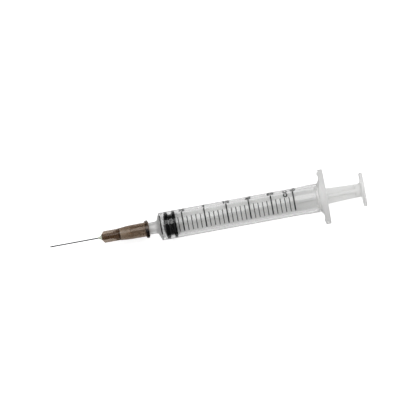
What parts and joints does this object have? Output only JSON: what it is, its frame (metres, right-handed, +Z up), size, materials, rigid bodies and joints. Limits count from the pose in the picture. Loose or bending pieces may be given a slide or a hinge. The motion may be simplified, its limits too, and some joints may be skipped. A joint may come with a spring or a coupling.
{
  "type": "slip tip syringe with needle",
  "caption": "Small clear syringe with a plain tapered nozzle, black gasket, cross-shaped plunger rod, oval finger flange and a brown-hubbed hypodermic needle.",
  "frame": {"origin": "on the barrel's axis at the zero line of the scale", "axes": "+X along the axis from the needle to the thumb rest, +Y along the finger flange, +Z up as it lies"},
  "size_m": [0.1169, 0.0202, 0.0124],
  "materials": {
    "clear_polypropylene": "clear, moulded, glossy",
    "black_rubber": "smooth, lightly oiled",
    "milky_polypropylene": "milky translucent, moulded",
    "brown_polypropylene": "translucent brown, moulded, glossy",
    "adhesive": "cured, glossy",
    "stainless_steel": "drawn and polished"
  },
  "bodies": {
    "barrel": {"barrel": "clear_polypropylene"},
    "gasket": {"gasket": "black_rubber"},
    "rod": {"plunger_rod": "milky_polypropylene"},
    "needle": {"needle_hub": "brown_polypropylene", "glue_bead": "adhesive", "needle_tube": "stainless_steel"}
  },
  "joints": [
    {"name": "plunger_slide", "type": "slide", "parent": "barrel", "child": "gasket", "axis": [1, 0, 0], "range_m": [-0.00125, 0.0528]},
    {"name": "rod_turn", "type": "hinge", "parent": "gasket", "child": "rod", "pos_m": [0.0045, 0, 0], "axis": [1, 0, 0], "continuous": true},
    {"name": "needle_pull", "type": "slide", "parent": "barrel", "child": "needle", "axis": [-1, 0, 0], "range_m": [0, 0.008]}
  ]
}
